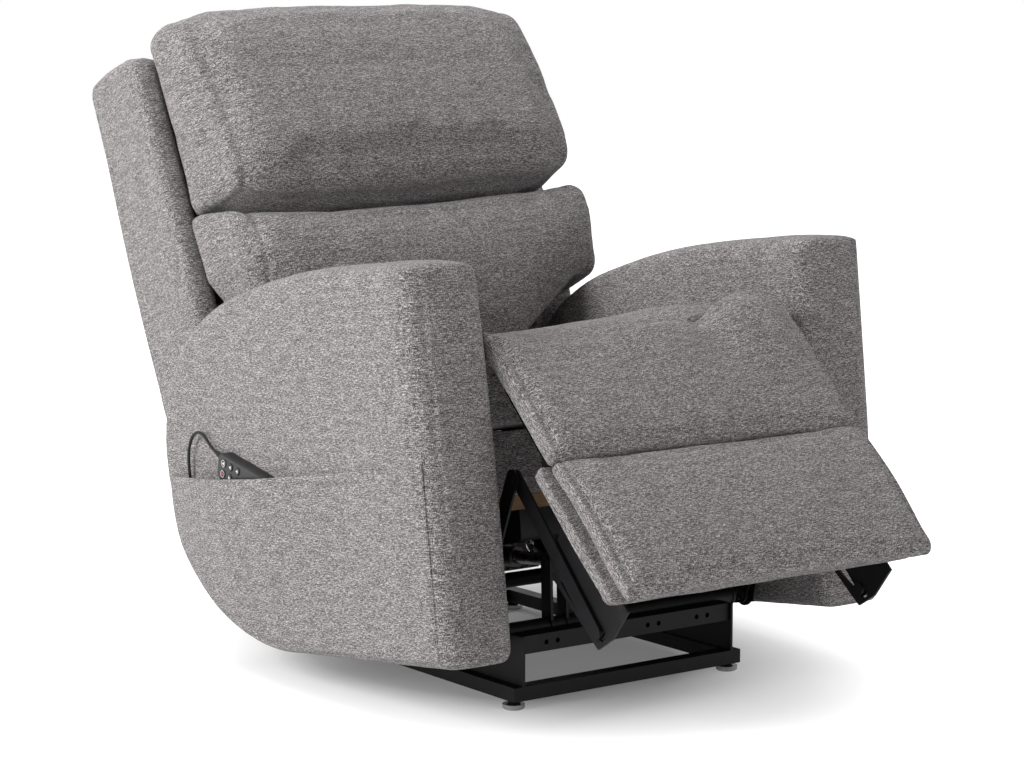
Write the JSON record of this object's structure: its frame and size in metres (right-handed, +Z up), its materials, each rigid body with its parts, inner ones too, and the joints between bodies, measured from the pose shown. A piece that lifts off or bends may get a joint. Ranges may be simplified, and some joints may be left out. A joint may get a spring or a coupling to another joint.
{
  "type": "lift recliner chair",
  "caption": "Powered lift and recline armchair with tweed cushions, D-shaped arms, a chaise footrest, a side pocket with a wired handset and a tubular steel lift base.",
  "frame": {"origin": "on the floor under the middle of the chair's box in the pictured pose, pocket and handset included; the seat's middle plane is at x = 12.4 mm", "axes": "+Z up, -Y the way the sitter faces, +X to the sitter's left"},
  "size_m": [0.9219, 1.3765, 1.0661],
  "materials": {
    "tweed": "coarse grey tweed",
    "timber": "planed pine and plywood",
    "black_steel": "satin black powder coat",
    "bright_steel": "bright zinc",
    "black_plastic": "fine-grained moulded",
    "black_rubber": "matt"
  },
  "bodies": {
    "base": {"base_side_rails": "black_steel", "base_cross_tubes": "black_steel", "base_upper_tube": "black_steel", "base_risers": "black_steel", "levelling_feet": "bright_steel", "foot_studs": "black_plastic", "base_pivot_pins": "bright_steel", "lift_motor_bracket": "black_steel"},
    "lift_arms": {"lift_arms": "black_steel", "lift_torque_tube": "black_steel"},
    "front_links": {"front_links": "black_steel"},
    "lift_motor": {"lift_motor": "black_plastic"},
    "lift_rod": {"lift_rod": "bright_steel"},
    "chair": {"side_plates": "black_steel", "chair_cross_tubes": "black_steel", "carriage_plates": "black_steel", "chair_pivot_pins": "bright_steel", "rod_brackets": "black_steel", "seat_side_rails": "timber", "seat_cross_rails": "timber", "seat_springs": "bright_steel", "seat_cushion": "tweed", "seat_apron": "tweed", "arm_left": "tweed", "arm_right": "tweed", "arm_frame_left": "timber", "arm_frame_right": "timber", "pocket_panel": "tweed", "control_box": "black_plastic", "power_supply": "black_plastic", "mains_gland": "black_rubber", "handset_body": "black_plastic", "handset_strain_relief": "black_rubber", "handset_cord": "black_rubber", "cord_grommet": "black_rubber"},
    "back": {"back_shell": "tweed", "back_stiles": "timber", "back_rails": "timber", "back_springs": "bright_steel", "lumbar_cushion": "tweed", "head_pillow": "tweed", "back_brackets": "black_steel", "recline_crank": "black_steel"},
    "footrest": {"chaise_pad": "tweed", "footrest_pad": "tweed", "footrest_board": "tweed", "footrest_arms": "black_steel"},
    "foot_links": {"foot_links": "black_steel", "foot_torque_tube": "black_steel"},
    "foot_followers": {"foot_followers": "black_steel"},
    "recline_motor": {"recline_motor": "black_plastic"},
    "recline_rod": {"recline_rod": "bright_steel"},
    "foot_motor": {"foot_motor": "black_plastic"},
    "foot_rod": {"foot_rod": "bright_steel"},
    "button_lift": {"button_lift": "black_plastic"},
    "button_lower": {"button_lower": "black_plastic"},
    "button_recline": {"button_recline": "black_plastic"},
    "button_upright": {"button_upright": "black_plastic"},
    "button_legs_up": {"button_legs_up": "black_plastic"},
    "button_legs_down": {"button_legs_down": "black_plastic"}
  },
  "joints": [
    {"name": "lift", "type": "hinge", "parent": "base", "child": "lift_arms", "pos_m": [0.01238, -0.1105, 0.12], "axis": [1, 0, 0], "range_deg": [0, 60]},
    {"name": "chair_on_lift_arms", "type": "hinge", "parent": "lift_arms", "child": "chair", "pos_m": [0.01238, 0.2195, 0.12], "axis": [1, 0, 0], "range_deg": [-38.9, 0.5]},
    {"name": "front_link_pivot", "type": "hinge", "parent": "base", "child": "front_links", "pos_m": [0.01238, -0.21353, 0.07767], "axis": [1, 0, 0], "range_deg": [-0.5, 74.36]},
    {"name": "lift_motor_swing", "type": "hinge", "parent": "base", "child": "lift_motor", "pos_m": [0.01238, -0.2455, 0.12], "axis": [1, 0, 0], "range_deg": [-0.5, 63.56]},
    {"name": "lift_rod_stroke", "type": "slide", "parent": "lift_motor", "child": "lift_rod", "axis": [0, 0.8944, 0.4472], "range_m": [-0.0005, 0.06573]},
    {"name": "recline", "type": "hinge", "parent": "chair", "child": "back", "pos_m": [0.01238, 0.16657, 0.2857], "axis": [-1, 0, 0], "range_deg": [-10, 38]},
    {"name": "recline_motor_swing", "type": "hinge", "parent": "chair", "child": "recline_motor", "pos_m": [0.01238, -0.0787, 0.1746], "axis": [1, 0, 0], "range_deg": [-3.3, 1.24]},
    {"name": "recline_rod_stroke", "type": "slide", "parent": "recline_motor", "child": "recline_rod", "axis": [0, 0.9797, 0.2004], "range_m": [-0.04254, 0.01156]},
    {"name": "footrest_raise", "type": "hinge", "parent": "chair", "child": "footrest", "pos_m": [0.01238, -0.3511, 0.56751], "axis": [-1, 0, 0], "range_deg": [-38, 47]},
    {"name": "foot_link_pivot", "type": "hinge", "parent": "chair", "child": "foot_links", "pos_m": [0.01238, -0.27522, 0.11296], "axis": [1, 0, 0], "range_deg": [-10.54, 12.92]},
    {"name": "foot_elbow", "type": "hinge", "parent": "foot_links", "child": "foot_followers", "pos_m": [0.01238, -0.37993, 0.37256], "axis": [1, 0, 0], "range_deg": [-79.62, 64.47]},
    {"name": "foot_motor_swing", "type": "hinge", "parent": "chair", "child": "foot_motor", "pos_m": [0.01238, 0.09247, 0.17385], "axis": [1, 0, 0], "range_deg": [-0.75, 0.81]},
    {"name": "foot_rod_stroke", "type": "slide", "parent": "foot_motor", "child": "foot_rod", "axis": [0, -0.9943, 0.1065], "range_m": [-0.01795, 0.02208]},
    {"name": "button_lift_press", "type": "slide", "parent": "chair", "child": "button_lift", "axis": [1, 0, 0], "range_m": [0, 0.0012], "stiffness_N_per_m": 600},
    {"name": "button_lower_press", "type": "slide", "parent": "chair", "child": "button_lower", "axis": [1, 0, 0], "range_m": [0, 0.0012], "stiffness_N_per_m": 600},
    {"name": "button_recline_press", "type": "slide", "parent": "chair", "child": "button_recline", "axis": [1, 0, 0], "range_m": [0, 0.0012], "stiffness_N_per_m": 600},
    {"name": "button_upright_press", "type": "slide", "parent": "chair", "child": "button_upright", "axis": [1, 0, 0], "range_m": [0, 0.0012], "stiffness_N_per_m": 600},
    {"name": "button_legs_up_press", "type": "slide", "parent": "chair", "child": "button_legs_up", "axis": [1, 0, 0], "range_m": [0, 0.0012], "stiffness_N_per_m": 600},
    {"name": "button_legs_down_press", "type": "slide", "parent": "chair", "child": "button_legs_down", "axis": [1, 0, 0], "range_m": [0, 0.0012], "stiffness_N_per_m": 600}
  ],
  "couplings": [
    {"joint": "chair_on_lift_arms", "follows": "lift", "ratio": -0.64},
    {"joint": "front_link_pivot", "follows": "lift", "ratio": 1.231},
    {"joint": "lift_motor_swing", "follows": "lift", "ratio": 1.0511},
    {"joint": "lift_rod_stroke", "follows": "lift", "m_per_rad": 0.062289},
    {"joint": "recline_motor_swing", "follows": "recline", "ratio": -0.073775},
    {"joint": "recline_rod_stroke", "follows": "recline", "m_per_rad": -0.063385},
    {"joint": "foot_link_pivot", "follows": "footrest_raise", "ratio": 0.2642},
    {"joint": "foot_elbow", "follows": "footrest_raise", "ratio": -1.6835},
    {"joint": "foot_motor_swing", "follows": "footrest_raise", "ratio": 0.006635},
    {"joint": "foot_rod_stroke", "follows": "footrest_raise", "m_per_rad": 0.02631}
  ]
}
